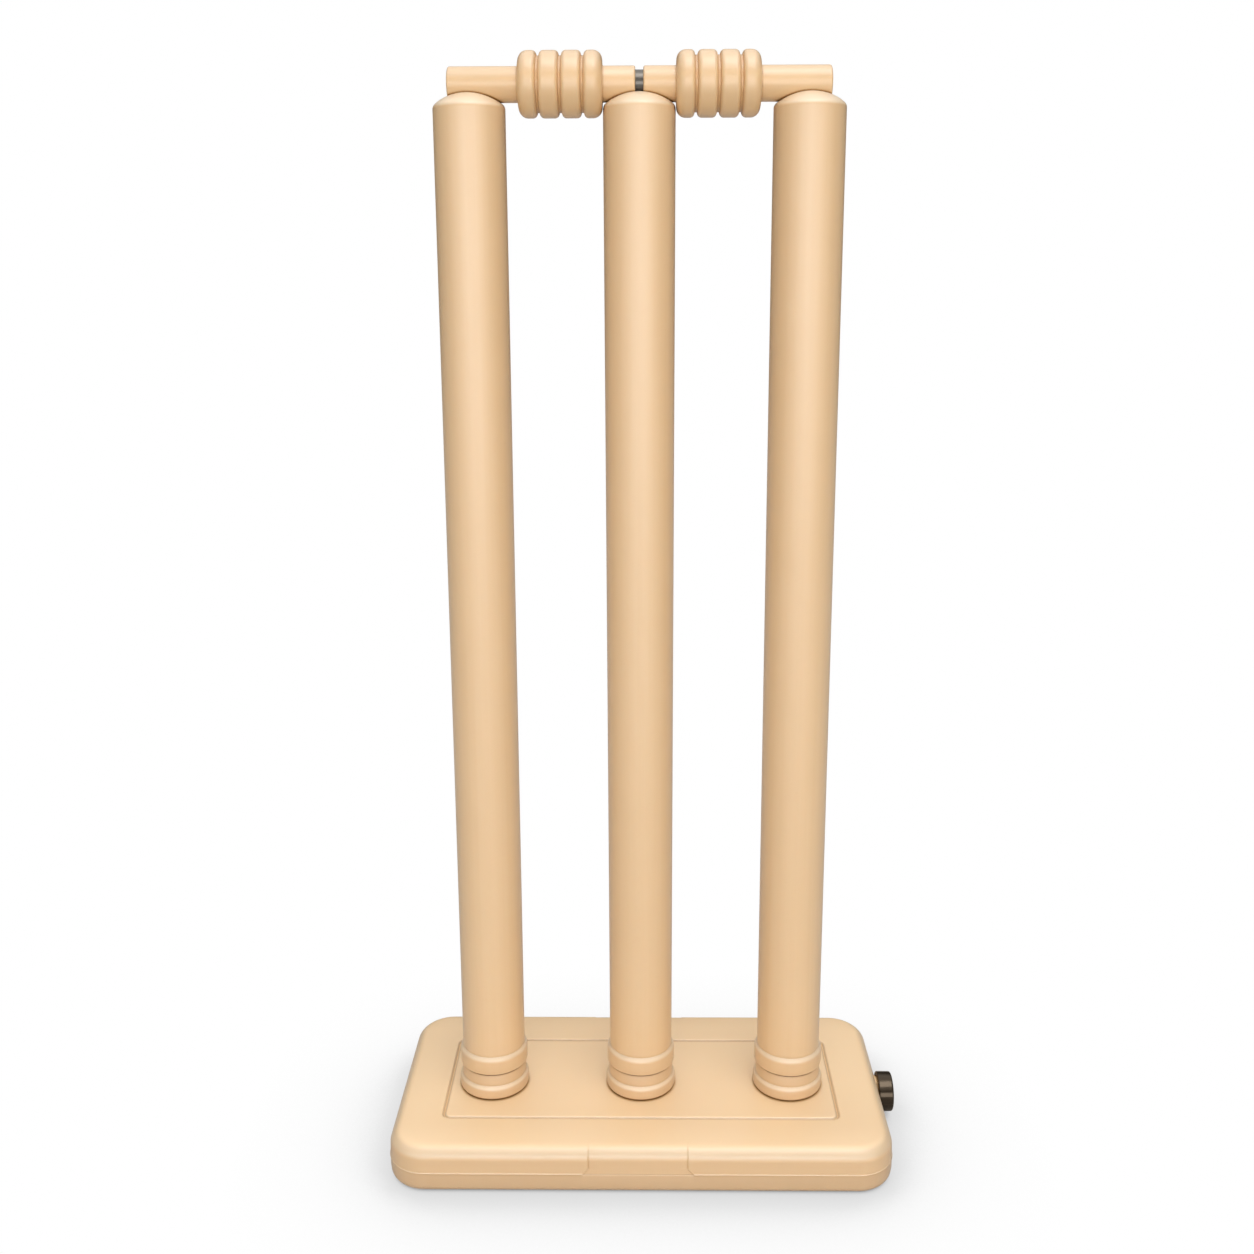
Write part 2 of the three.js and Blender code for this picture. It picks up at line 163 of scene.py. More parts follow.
# Fineness of the meshes: steps round a circle or an arc, and spans in millimetres
ROUND_STEPS = 192
NECK_STEPS = 128
SOCKET_STEPS = 96
SEAL_STEPS = 96
ARC_STEPS = 8
HEAD_STEP = 0.45
LONG_SPAN = 9
BAND_SPAN = 7
BAND_EDGE_SPAN = 0.2
SIDE_SPAN = 7
FRAME_SPAN = 12
BASE_CORNER_STEPS = 28
FRAME_CORNER_STEPS = 12
BOTTOM_ROUNDING_STEPS = 10
TOP_ROUNDING_STEPS = 16
BAND_ROWS = 12
CROWN_ROWS = 7

# Distances that count as none, WELD in metres and NEAR in millimetres
WELD = 0.000001
NEAR = 0.01

# Angles in degrees above which an edge is sharp
SHARP_ANGLE = 40
BASE_SHARP_ANGLE = 50

# Camera, with its place in millimetres and its turns in radians
FOCAL_LENGTH = 38.14
SENSOR_WIDTH = 36.0
CAMERA_PLACE = (1.97, -814.5, 583.0)
CAMERA_PITCH = 0.2092
CAMERA_YAW = -0.0124
CAMERA_ROLL = -0.0036
FRAME_SHIFT = -0.0694

# Tones of the cream polyethylene: two that cloud into each other, one paler for the painted sheen
# on edges that face up, and one for the painted light on flat tops
STUMP_CREAM = ("#dfbb8d", "#e4c195", "#dfc5a3", "#e2c9aa")
BAIL_CREAM = ("#dfb987", "#e4bf8e", "#d4b288", "#d4b388")
BASE_CREAM = ("#dab589", "#dfbb8f", "#d7bb97", "#eccca1")
DIE_LINE_TONE = "#d8ae7c"
# Painted shade: the tone that the lower parts are darkened towards
LOW_SHADE_TONE = "#c2a07a"
# Painted shade: the brown that corners are darkened towards
CORNER_SHADE_TONE = "#4a300f"

# How far up a face looks, from 0 for level to 1 for straight up, where the painted sheen and the
# painted top light set in and where they are full
SHEEN_FACING = (0.15, 0.5)
TOP_LIGHT_FACING = (0.75, 1.0)

# Stretches of the die lines
UPRIGHT = (1, 1, 0.012)
ALONG_X = (0.012, 1, 1)

# Floor, in metres. The shade seen on it is a curve over the share of open sky, and it fades out
# between two distances from the middle
FLOOR_REACH = 6.0
FLOOR_DROP = 0.0002
SHADE_REACH = 0.11
SHADE_CURVE = ((0, 0.1), (0.45, 0.69), (0.72, 0.785), (0.83, 0.85), (0.92, 0.985), (1, 1))
SHADE_FADES = (0.26, 0.55)

# Light from all round: where it starts to grow and where it is full, from 0 for the horizon to 1
# for straight up, as the surfaces are lit by it and as they mirror it
DOME_RISE = (0.0, 0.8)
MIRRORED_RISE = (0.4, 0.85)


# Camera

def add_camera():
    """The camera stands where the photograph was taken from."""
    forward = Vector((
        math.sin(CAMERA_YAW) * math.cos(CAMERA_PITCH),
        math.cos(CAMERA_YAW) * math.cos(CAMERA_PITCH),
        -math.sin(CAMERA_PITCH),
    ))
    right = Vector((math.cos(CAMERA_YAW), -math.sin(CAMERA_YAW), 0))
    up = right.cross(forward)
    turned_right = right * math.cos(CAMERA_ROLL) + up * math.sin(CAMERA_ROLL)
    turned_up = up * math.cos(CAMERA_ROLL) - right * math.sin(CAMERA_ROLL)
    data = bpy.data.cameras.new("camera")
    data.lens = FOCAL_LENGTH
    data.sensor_width = SENSOR_WIDTH
    data.shift_y = FRAME_SHIFT
    camera = bpy.data.objects.new("camera", data)
    turn = Matrix((turned_right, turned_up, -forward)).transposed().to_4x4()
    camera.matrix_world = Matrix.Translation(Vector(CAMERA_PLACE) * MM) @ turn
    bpy.context.scene.collection.objects.link(camera)
    bpy.context.scene.camera = camera


add_camera()


# Nodes

def linear(hex_colour):
    """An sRGB colour written in hex, as the linear colour that a socket takes."""
    parts = [int(hex_colour[i:i + 2], 16) / 255 for i in (1, 3, 5)]
    bent = [p / 12.92 if p <= 0.04045 else ((p + 0.055) / 1.055) ** 2.4 for p in parts]
    return (*bent, 1.0)


def add(tree, kind, settings=None, sockets=None):
    """Adds a node with its settings, and with a value or a link on each named socket."""
    node = tree.nodes.new(kind)
    for name, value in (settings or {}).items():
        setattr(node, name, value)
    for key, value in (sockets or {}).items():
        if isinstance(value, bpy.types.NodeSocket):
            tree.links.new(value, node.inputs[key])
        else:
            node.inputs[key].default_value = value
    return node


def new_material(name):
    """An empty material and its tree, with the object coordinates that patterns read."""
    material = bpy.data.materials.new(name)
    material.use_nodes = True
    tree = material.node_tree
    tree.nodes.clear()
    place = add(tree, "ShaderNodeTexCoord").outputs["Object"]
    return material, tree, place


def noise(tree, place, size, detail=2.0, roughness=0.5, stretch=(1, 1, 1)):
    """Noise whose features measure about size millimetres, longer where stretch is below 1."""
    scaled = add(tree, "ShaderNodeMapping", None, {"Vector": place, "Scale": stretch})
    return add(tree, "ShaderNodeTexNoise", None, {
        "Vector": scaled.outputs["Vector"],
        "Scale": 1 / (size * MM),
        "Detail": detail,
        "Roughness": roughness,
    }).outputs["Fac"]


def ranged(tree, value, low, high):
    """A value from 0 to 1 spread over low to high."""
    return add(tree, "ShaderNodeMapRange", None, {
        "Value": value, "To Min": low, "To Max": high,
    }).outputs["Result"]


def eased(tree, value, start, end, low=0.0, high=1.0):
    """A value that goes softly from low to high as another one goes from start to end."""
    return add(tree, "ShaderNodeMapRange", {"interpolation_type": "SMOOTHSTEP"}, {
        "Value": value, "From Min": start, "From Max": end, "To Min": low, "To Max": high,
    }).outputs["Result"]


def curved(tree, value, points):
    """A value read off a curve through points."""
    node = add(tree, "ShaderNodeFloatCurve", None, {"Value": value})
    line = node.mapping.curves[0]
    line.points[0].location = points[0]
    line.points[1].location = points[-1]
    for spot in points[1:-1]:
        line.points.new(*spot)
    node.mapping.update()
    return node.outputs["Value"]


def mixed(tree, factor, first, second):
    """A mix of two colours, each written in hex or taken from a socket."""
    pair = [linear(c) if isinstance(c, str) else c for c in (first, second)]
    return add(tree, "ShaderNodeMix", {"data_type": "RGBA"}, {
        "Factor": factor, 6: pair[0], 7: pair[1],
    }).outputs[2]


def bumped(tree, height, millimetres, after=None):
    """A bump as deep as so many millimetres, laid over an earlier one."""
    sockets = {"Height": height, "Strength": 1.0, "Distance": millimetres * MM}
    if after is not None:
        sockets["Normal"] = after
    return add(tree, "ShaderNodeBump", None, sockets).outputs["Normal"]


def finish_material(tree, sockets):
    """The surface's shader, wired to the output."""
    shader = add(tree, "ShaderNodeBsdfPrincipled", None, sockets)
    add(tree, "ShaderNodeOutputMaterial", None, {"Surface": shader.outputs["BSDF"]})


# Materials

def moulded_polyethylene(name, grain, tone, polish, corner, low_shade=None):
    """Blow-moulded high-density polyethylene in a warm cream. The blasted mould leaves a fine
    orange peel, and the parison's faint die lines run along the grain direction. Edges that face
    up get a paler tone of painted sheen, and flat tops a paler tone of painted light. Corners
    within a reach get painted shade: they are duller and of a deeper brown. Painted shade also
    darkens the skin from one height down to another, up to a share."""
    material, tree, place = new_material(name)
    cloud = noise(tree, place, 55, detail=3)
    line = noise(tree, place, 3.2, detail=3, roughness=0.6, stretch=grain)
    peel = noise(tree, place, 0.9, detail=2)
    sink = noise(tree, place, 26, detail=1)
    darker, lighter, sheen_tone, top_light_tone = tone
    colour = mixed(tree, cloud, darker, lighter)
    colour = mixed(tree, ranged(tree, line, 0.0, 0.4), colour, DIE_LINE_TONE)
    # Painted shade: the skin darkens from one height down to another, up to a share
    if low_shade is not None:
        top, foot, share = low_shade
        height = add(tree, "ShaderNodeSeparateXYZ", None, {0: place}).outputs["Z"]
        low_shade_share = eased(tree, height, foot * MM, top * MM, share, 0.0)
        colour = mixed(tree, low_shade_share, colour, LOW_SHADE_TONE)
    facing = add(tree, "ShaderNodeSeparateXYZ", None, {
        0: add(tree, "ShaderNodeNewGeometry").outputs["Normal"],
    }).outputs["Z"]
    # Painted sheen: edges that face up turn paler; painted light: flat tops turn paler still
    colour = mixed(tree, eased(tree, facing, *SHEEN_FACING), colour, sheen_tone)
    colour = mixed(tree, eased(tree, facing, *TOP_LIGHT_FACING), colour, top_light_tone)
    # Painted shade in corners: within a reach the colour is deepened and browned by how little
    # open sky a point sees
    reach, depth = corner
    open_share = add(tree, "ShaderNodeAmbientOcclusion", {"samples": 4}, {
        "Distance": reach * MM,
    }).outputs["AO"]
    colour = add(tree, "ShaderNodeGamma", None, {
        "Color": colour, "Gamma": ranged(tree, open_share, 1.0 + depth, 1.0),
    }).outputs["Color"]
    colour = mixed(tree, ranged(tree, open_share, depth / 2, 0.0), colour, CORNER_SHADE_TONE)
    normal = bumped(tree, sink, 0.10)
    normal = bumped(tree, line, 0.012, normal)
    normal = bumped(tree, peel, 0.010, normal)
    finish_material(tree, {
        "Base Color": colour,
        "Roughness": ranged(tree, line, 0.44, 0.52),
        "IOR": 1.54,
        # Painted shade too: corners lose their gloss
        "Specular IOR Level": ranged(tree, open_share, 0.0, 0.55),
        "Coat Weight": ranged(tree, open_share, 0.0, polish),
        "Coat Roughness": 0.38,
        "Coat IOR": 1.5,
        "Subsurface Weight": 0.12,
        "Subsurface Radius": (1.0, 0.6, 0.35),
        "Subsurface Scale": 0.002,
        "Normal": normal,
    })
    return material


def polished_dark_plastic(name):
    """Dark brown ABS with a metallic pigment, moulded in a polished mould."""
    material, tree, place = new_material(name)
    cloud = noise(tree, place, 6, detail=2)
    peel = noise(tree, place, 0.6, detail=2)
    finish_material(tree, {
        "Base Color": mixed(tree, cloud, "#2c241b", "#362d23"),
        "Metallic": 0.35,
        "Roughness": ranged(tree, cloud, 0.14, 0.2),
        "IOR": 1.53,
        "Specular Tint": linear("#ffe8cc"),
        "Normal": bumped(tree, peel, 0.004),
    })
    return material


def grey_peg_plastic(name):
    """Grey ABS of the bails' peg, turned smooth."""
    material, tree, place = new_material(name)
    line = noise(tree, place, 0.8, detail=2, stretch=(6, 1, 1))
    finish_material(tree, {
        "Base Color": mixed(tree, line, "#524d47", "#645f58"),
        "Metallic": 0.6,
        "Roughness": ranged(tree, line, 0.26, 0.36),
        "IOR": 1.53,
        "Normal": bumped(tree, line, 0.006),
    })
    return material


def seal_rubber(name):
    """Black nitrile rubber, matt and slightly grained."""
    material, tree, place = new_material(name)
    grain = noise(tree, place, 0.7, detail=3)
    finish_material(tree, {
        "Base Color": mixed(tree, grain, "#151515", "#201f1e"),
        "Roughness": ranged(tree, grain, 0.7, 0.85),
        "IOR": 1.52,
        "Normal": bumped(tree, grain, 0.02),
    })
    return material


# The stumps and the base get painted shade low down, and every piece gets painted shade in its
# corners
stump_plastic = moulded_polyethylene(
    "moulded_polyethylene_stump", grain=UPRIGHT, tone=STUMP_CREAM, polish=0.85, corner=(2, 1.8),
    low_shade=(76, 33, 0.6))
bail_plastic = moulded_polyethylene(
    "moulded_polyethylene_bail", grain=ALONG_X, tone=BAIL_CREAM, polish=0.8, corner=(1.2, 1.4))
base_plastic = moulded_polyethylene(
    "moulded_polyethylene_base", grain=ALONG_X, tone=BASE_CREAM, polish=0.75, corner=(1.8, 1.1),
    low_shade=(SEAM_HEIGHT, SEAM_HEIGHT - 0.6, 0.38))
cap_plastic = polished_dark_plastic("polished_dark_plastic")
peg_plastic = grey_peg_plastic("grey_peg_plastic")
rubber = seal_rubber("seal_rubber")


# Geometry trees

def new_tree(name, inputs):
    """A geometry tree with a geometry in, a geometry out and named inputs for its sizes."""
    tree = bpy.data.node_groups.new(name, "GeometryNodeTree")
    face = tree.interface
    face.new_socket("Geometry", in_out="INPUT", socket_type="NodeSocketGeometry")
    for label, kind, value in inputs:
        socket = face.new_socket(label, in_out="INPUT", socket_type=f"NodeSocket{kind}")
        if value is not None:
            socket.default_value = value
    face.new_socket("Geometry", in_out="OUTPUT", socket_type="NodeSocketGeometry")
    return tree, add(tree, "NodeGroupInput").outputs


def calc(tree, operation, *values):
    """A math node on up to three values or sockets."""
    return add(tree, "ShaderNodeMath", {"operation": operation},
               dict(enumerate(values))).outputs[0]


def end_tree(tree, geometry, material):
    """Realize Instances and Set Material, and the way out."""
    real = add(tree, "GeometryNodeRealizeInstances", None, {0: geometry}).outputs[0]
    painted = add(tree, "GeometryNodeSetMaterial", None, {
        "Geometry": real, "Material": material,
    }).outputs[0]
    add(tree, "NodeGroupOutput", None, {0: painted})


def turned_tree():
    """Turns a profile, a line of points at X from the axis and Z along it, round the Z axis."""
    tree, given = new_tree("turned_form", [
        ("Profile Points", "Int", 2),
        ("Steps Round", "Int", ROUND_STEPS),
        ("Weld", "Float", WELD),
        ("Material", "Material", None),
    ])
    rows = given["Profile Points"]
    grid = add(tree, "GeometryNodeMeshGrid", None, {
        "Size X": 1.0,
        "Size Y": 1.0,
        "Vertices X": rows,
        "Vertices Y": calc(tree, "ADD", given["Steps Round"], 1.0),
    }).outputs["Mesh"]
    spot = add(tree, "ShaderNodeSeparateXYZ", None, {
        0: add(tree, "GeometryNodeInputPosition").outputs[0],
    }).outputs
    share = calc(tree, "ADD", spot["X"], 0.5)
    row = calc(tree, "MULTIPLY", share, calc(tree, "SUBTRACT", rows, 1.0))
    whole = add(tree, "FunctionNodeFloatToInt", {"rounding_mode": "ROUND"}, {0: row}).outputs[0]
    sample = add(tree, "GeometryNodeSampleIndex", {"data_type": "FLOAT_VECTOR"}, {
        "Geometry": given["Geometry"],
        "Value": add(tree, "GeometryNodeInputPosition").outputs[0],
        "Index": whole,
    }).outputs["Value"]
    edge = add(tree, "ShaderNodeSeparateXYZ", None, {0: sample}).outputs
    angle = calc(tree, "MULTIPLY", calc(tree, "ADD", spot["Y"], 0.5), math.tau)
    wrapped = add(tree, "ShaderNodeCombineXYZ", None, {
        0: calc(tree, "MULTIPLY", edge["X"], calc(tree, "COSINE", angle)),
        1: calc(tree, "MULTIPLY", edge["X"], calc(tree, "SINE", angle)),
        2: edge["Z"],
    }).outputs[0]
    shaped = add(tree, "GeometryNodeSetPosition", None, {
        "Geometry": grid, "Position": wrapped,
    }).outputs[0]
    welded = add(tree, "GeometryNodeMergeByDistance", None, {
        "Geometry": shaped, "Distance": given["Weld"],
    }).outputs[0]
    end_tree(tree, welded, given["Material"])
    return tree


def thread_tree():
    """A right-handed screw thread: a ridge that follows a helix round the Z axis, and thins out
    at its ends."""
    tree, given = new_tree("screw_thread", [
        ("Radius", "Float", 0.01),
        ("Pitch", "Float", 0.003),
        ("Turns", "Float", 2.0),
        ("Ridge Width", "Float", 0.001),
        ("Ridge Height", "Float", 0.0004),
        ("Steps per Turn", "Int", 96),
        ("Material", "Material", None),
    ])
    helix = add(tree, "GeometryNodeCurveSpiral", None, {
        "Resolution": given["Steps per Turn"],
        "Rotations": given["Turns"],
        "Start Radius": given["Radius"],
        "End Radius": given["Radius"],
        "Height": calc(tree, "MULTIPLY", given["Pitch"], given["Turns"]),
        "Reverse": True,
    }).outputs[0]
    along = add(tree, "GeometryNodeSplineParameter").outputs["Factor"]
    rise = calc(tree, "MULTIPLY", along, THREAD_TAPER)
    fall = calc(tree, "MULTIPLY", calc(tree, "SUBTRACT", 1.0, along), THREAD_TAPER)
    lowest = calc(tree, "MINIMUM", calc(tree, "MINIMUM", rise, fall), 1.0)
    taper = calc(tree, "MAXIMUM", lowest, THREAD_THINNEST)
    thinned = add(tree, "GeometryNodeSetCurveRadius", None, {
        "Curve": helix, "Radius": taper,
    }).outputs[0]
    upright = add(tree, "GeometryNodeSetCurveNormal", {"mode": "Z_UP"}, {0: thinned}).outputs[0]
    ridge = add(tree, "GeometryNodeCurvePrimitiveQuadrilateral", {"mode": "KITE"}, {
        "Width": calc(tree, "MULTIPLY", given["Ridge Height"], 2.0),
        "Bottom Height": calc(tree, "MULTIPLY", given["Ridge Width"], 0.5),
        "Top Height": calc(tree, "MULTIPLY", given["Ridge Width"], 0.5),
    }).outputs[0]
    swept = add(tree, "GeometryNodeCurveToMesh", None, {
        "Curve": upright, "Profile Curve": ridge, "Fill Caps": True,
    })
    end_tree(tree, swept.outputs[0], given["Material"])
    return tree


def grown(source, tree, values):
    """The plain mesh that a tree makes from a source mesh and the values of its inputs."""
    holder = bpy.data.objects.new("holder", source)
    bpy.context.scene.collection.objects.link(holder)
    modifier = holder.modifiers.new("form", "NODES")
    modifier.node_group = tree
    for item in tree.interface.items_tree:
        if item.in_out == "INPUT" and item.name in values:
            modifier[item.identifier] = values[item.name]
    bpy.context.view_layer.update()
    made = holder.evaluated_get(bpy.context.evaluated_depsgraph_get())
    mesh = bpy.data.meshes.new_from_object(made)
    bpy.data.objects.remove(holder)
    return mesh


turned_form = turned_tree()
screw_thread = thread_tree()


# Meshes

def arc(centre, radius, start, end, steps=ARC_STEPS):
    """Points of an arc in a profile, with its angles in degrees."""
    angles = np.radians(np.linspace(start, end, steps + 1))
    return [(centre[0] + radius * math.cos(a), centre[1] + radius * math.sin(a)) for a in angles]


def turned(profile, material, steps=ROUND_STEPS):
    """A turned mesh from a profile of (radius, height) in millimetres that runs up the outside."""
    line = bpy.data.meshes.new("profile")
    points = [(r * MM, 0, z * MM) for r, z in profile]
    line.from_pydata(points, [(i, i + 1) for i in range(len(points) - 1)], [])
    return grown(line, turned_form, {
        "Profile Points": len(points), "Steps Round": steps, "Material": material,
    })


def thread(radius, start, material):
    """The ridge of a thread round Z, from a height up."""
    ridge = grown(bpy.data.meshes.new("seed"), screw_thread, {
        "Radius": radius * MM,
        "Pitch": THREAD_PITCH * MM,
        "Turns": THREAD_TURNS,
        "Ridge Width": THREAD_WIDTH * MM,
        "Ridge Height": THREAD_HEIGHT * MM,
        "Material": material,
    })
    ridge.transform(Matrix.Translation((0, 0, start * MM)))
    return outward(ridge)


def outward(mesh):
    """Turns a closed mesh's faces outward, by the sign of its volume."""
    shape = bmesh.new()
    shape.from_mesh(mesh)
    if shape.calc_volume(signed=True) < 0:
        bmesh.ops.reverse_faces(shape, faces=shape.faces)
    shape.to_mesh(mesh)
    shape.free()
    return mesh


def joined(mesh, added):
    """One closed mesh, made of two that overlap."""
    kept = bpy.data.objects.new("kept", mesh)
    other = bpy.data.objects.new("added", added)
    for item in (kept, other):
        bpy.context.scene.collection.objects.link(item)
    modifier = kept.modifiers.new("join", "BOOLEAN")
    modifier.operation = "UNION"
    modifier.solver = "EXACT"
    modifier.object = other
    bpy.context.view_layer.update()
    result = bpy.data.meshes.new_from_object(
        kept.evaluated_get(bpy.context.evaluated_depsgraph_get()))
    for item in (kept, other):
        bpy.data.objects.remove(item)
    return result


def add_piece(name, mesh, material, body, nodes, sharp=SHARP_ANGLE):
    """Makes a mesh a piece that rides on a body and stands for its CAD nodes."""
    outward(mesh)
    mesh.name = name
    mesh.materials.clear()
    mesh.materials.append(material)
    mesh.polygons.foreach_set("material_index", np.zeros(len(mesh.polygons), np.int32))
    mesh.shade_smooth()
    mesh.set_sharp_from_angle(angle=math.radians(sharp))
    piece = bpy.data.objects.new(name, mesh)
    bpy.context.scene.collection.objects.link(piece)
    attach(piece, body)
    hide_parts(*nodes)


def centre_of(node):
    """The middle of a CAD node's box."""
    low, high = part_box(node)
    return (low + high) / 2


# Stumps

def ring_outline(ring, grows_from):
    """A moulded ring: undercut below, rounded above, with a small fillet into what it is on."""
    radius, top, rounding, undercut = (
        ring[k] for k in ("radius", "top", "rounding", "undercut")
    )
    centre = radius - rounding
    end = math.acos((grows_from - centre) / rounding)
    middle = (centre, top - rounding * math.sin(end))
    reach = rounding + RING_FILLET
    side = grows_from + RING_FILLET
    rise = math.sqrt(reach ** 2 - (side - centre) ** 2)
    meet = math.degrees(math.atan2(rise, side - centre))
    return [
        *arc((radius - undercut, ring["bottom"] + undercut), undercut, -90, 0),
        *arc(middle, rounding, 0, meet),
        *arc((side, middle[1] + rise), RING_FILLET, meet + 180, 180, 5)[1:],
    ]


def stump_profile():
    """From the top of the cavity down inside, and up the outside to the top of the dome."""
    drop = math.sqrt(
        (DOME_RADIUS - SHOULDER_FILLET) ** 2 - (STUMP_RADIUS - SHOULDER_FILLET) ** 2
    )
    fillet_centre = (STUMP_RADIUS - SHOULDER_FILLET, SHOULDER_HEIGHT)
    dome_centre = (0, SHOULDER_HEIGHT - drop)
    tangent = math.degrees(math.atan2(drop, fillet_centre[0]))
    dome_steps = round(DOME_RADIUS * math.radians(90 - tangent) / HEAD_STEP)
    head_inside = STUMP_RADIUS - STUMP_WALL
    foot_inside = SHAFT_FOOT_RADIUS - STUMP_WALL
    plug_bore = PLUG_RADIUS - STUMP_WALL
    mouth = PLUG_MOUTH_ROUNDING
    cavity_top = SHOULDER_HEIGHT + GROOVE_FLOOR_RISE - STUMP_WALL
    return [
        (0, cavity_top),
        (head_inside - STUMP_WALL, cavity_top - STUMP_WALL / 2),
        (head_inside, cavity_top - 2 * STUMP_WALL),
        (foot_inside, LOWER_RING["top"]),
        (plug_bore, SEAT_GAP + STUMP_WALL),
        (plug_bore, mouth - PLUG_LENGTH),
        *arc((plug_bore + mouth, mouth - PLUG_LENGTH), mouth, 180, 270, 3),
        (PLUG_RADIUS - PLUG_CHAMFER, -PLUG_LENGTH),
        *arc((PLUG_RADIUS - PLUG_CHAMFER, PLUG_CHAMFER - PLUG_LENGTH), PLUG_CHAMFER, -90, 0),
        *arc((PLUG_RADIUS + SEAT_FILLET, SEAT_GAP - SEAT_FILLET), SEAT_FILLET, 180, 90, 3),
        *ring_outline(LOWER_RING, WAIST_RADIUS),
        *[(WAIST_RADIUS - depth, WAIST_TOP + rise) for depth, rise in CREASE_SECTION],
        *ring_outline(UPPER_RING, SHAFT_FOOT_RADIUS),
        *arc(fillet_centre, SHOULDER_FILLET, 0, tangent, 10),
        *arc(dome_centre, DOME_RADIUS, tangent, 90, dome_steps)[1:],
    ]


def soft_minimum(first, second, softness):
    """The lower of two heights, with the corner where they cross rounded off."""
    near = np.maximum(softness - np.abs(first - second), 0) / softness
    return np.minimum(first, second) - near ** 2 * softness / 4


def cut_head_groove(points):
    """Sinks the head's surface into a round groove along X, the seat of the bail."""
    radius = BAIL_TAIL_RADIUS + BAIL_CLEARANCE
    axis = SHOULDER_HEIGHT + GROOVE_FLOOR_RISE + radius
    away = np.abs(points[:, 1])
    groove = axis - np.sqrt(np.maximum(radius ** 2 - away ** 2, 0))
    groove += GROOVE_SIDE_SLOPE * np.maximum(away - radius, 0)
    inside = points[:, 2] < SHOULDER_HEIGHT + GROOVE_FLOOR_RISE - STUMP_WALL + NEAR
    inside &= np.hypot(points[:, 0], points[:, 1]) < STUMP_RADIUS - STUMP_WALL + NEAR
    head = (points[:, 2] > SHOULDER_HEIGHT) & ~inside
    points[head, 2] = soft_minimum(points[head, 2], groove[head], GROOVE_LIP_SOFTNESS)


def raise_parting_line(points):
    """The faint line that the two halves of the mould leave along both sides of the shaft."""
    shaft = (points[:, 2] > UPPER_RING["top"]) & (points[:, 2] < SHOULDER_HEIGHT + NEAR)
    on_line = shaft & (np.abs(points[:, 1]) < NEAR)
    on_line &= np.abs(points[:, 0]) > SHAFT_FOOT_RADIUS - NEAR
    points[on_line, 0] += np.sign(points[on_line, 0]) * PARTING_LINE_HEIGHT


def stump_mesh():
    """A whole stump upright, with its groove and its parting line."""
    mesh = turned(stump_profile(), stump_plastic)
    count = len(mesh.vertices)
    points = np.empty(count * 3)
    mesh.vertices.foreach_get("co", points)
    points = points.reshape(-1, 3) / MM
    cut_head_groove(points)
    raise_parting_line(points)
    mesh.vertices.foreach_set("co", (points * MM).ravel())
    mesh.update()
    return mesh


for side in SIDES:
    node = f"stump_{side}"
    stump = stump_mesh()
    stump.transform(Matrix.Translation((centre_of(node).x, 0, BASE_HEIGHT * MM)))
    add_piece(f"{node}_moulding", stump, stump_plastic, f"{side}_stump", [node])


# Bails

def barrel_outline(start):
    """Four ribs in a row, with rounded ends and narrow soft-floored grooves between them."""
    centre = BARREL_RADIUS - RIB_ROUNDING
    floor = BARREL_RADIUS - RIB_GROOVE_DEPTH
    half = RIB_GROOVE_FLOOR / 2
    spread = half + RIB_ROUNDING
    bend = RIB_GROOVE_FILLET
    end_centre = BARREL_RADIUS - BARREL_END_ROUNDING
    near = start + BARREL_END_ROUNDING
    points = arc((end_centre, near), BARREL_END_ROUNDING, -90, 0, BARREL_END_STEPS)
    for groove in range(1, RIB_COUNT):
        z = start + BARREL_LENGTH / 2 + (groove - RIB_COUNT / 2) * RIB_PITCH
        points += arc((centre, z - spread), RIB_ROUNDING, 0, 90, RIB_STEPS)[:-1]
        points += arc((floor + bend, z - half + bend), bend, 270, 180, 5)
        points += arc((floor + bend, z + half - bend), bend, 180, 90, 5)
        points += arc((centre, z + spread), RIB_ROUNDING, -90, 0, RIB_STEPS)[1:]
    far = start + BARREL_LENGTH - BARREL_END_ROUNDING
    points += arc((end_centre, far), BARREL_END_ROUNDING, 0, 90, BARREL_END_STEPS)
    return points


def bail_profile():
    """From the closed outer end inside to the mouth of the bore, and out along the outside."""
    length = INNER_TAIL_LENGTH + BARREL_LENGTH + OUTER_TAIL_LENGTH
    barrel_end = INNER_TAIL_LENGTH + BARREL_LENGTH
    bore = BAIL_TAIL_RADIUS - BAIL_WALL
    cavity = BARREL_RADIUS - RIB_GROOVE_DEPTH - BAIL_WALL
    tail = BAIL_TAIL_RADIUS
    root = BARREL_ROOT_FILLET
    ease = TAIL_END_ROUNDING
    mouth = BORE_MOUTH_ROUNDING
    return [
        (0, length - BAIL_WALL),
        (bore, length - BAIL_WALL),
        (bore, barrel_end),
        (cavity, barrel_end - BARREL_END_ROUNDING),
        (cavity, INNER_TAIL_LENGTH + BARREL_END_ROUNDING),
        (bore, INNER_TAIL_LENGTH),
        (bore, mouth),
        *arc((bore + mouth, mouth), mouth, 180, 270, 3),
        *arc((tail - ease, ease), ease, -90, 0, 6),
        *arc((tail + root, INNER_TAIL_LENGTH - root), root, 180, 90, 5),
        *barrel_outline(INNER_TAIL_LENGTH),
        *arc((tail + root, barrel_end + root), root, 270, 180, 5),
        *arc((tail - ease, length - ease), ease, 0, 90, 6),
        (0, length),
    ]


def along_x(mesh, side, place):
    """Lays a mesh that was turned about Z along X, towards one side, at a place."""
    mesh.transform(Matrix.Rotation(side * math.pi / 2, 4, "Y"))
    mesh.transform(Matrix.Translation(place))
    return mesh


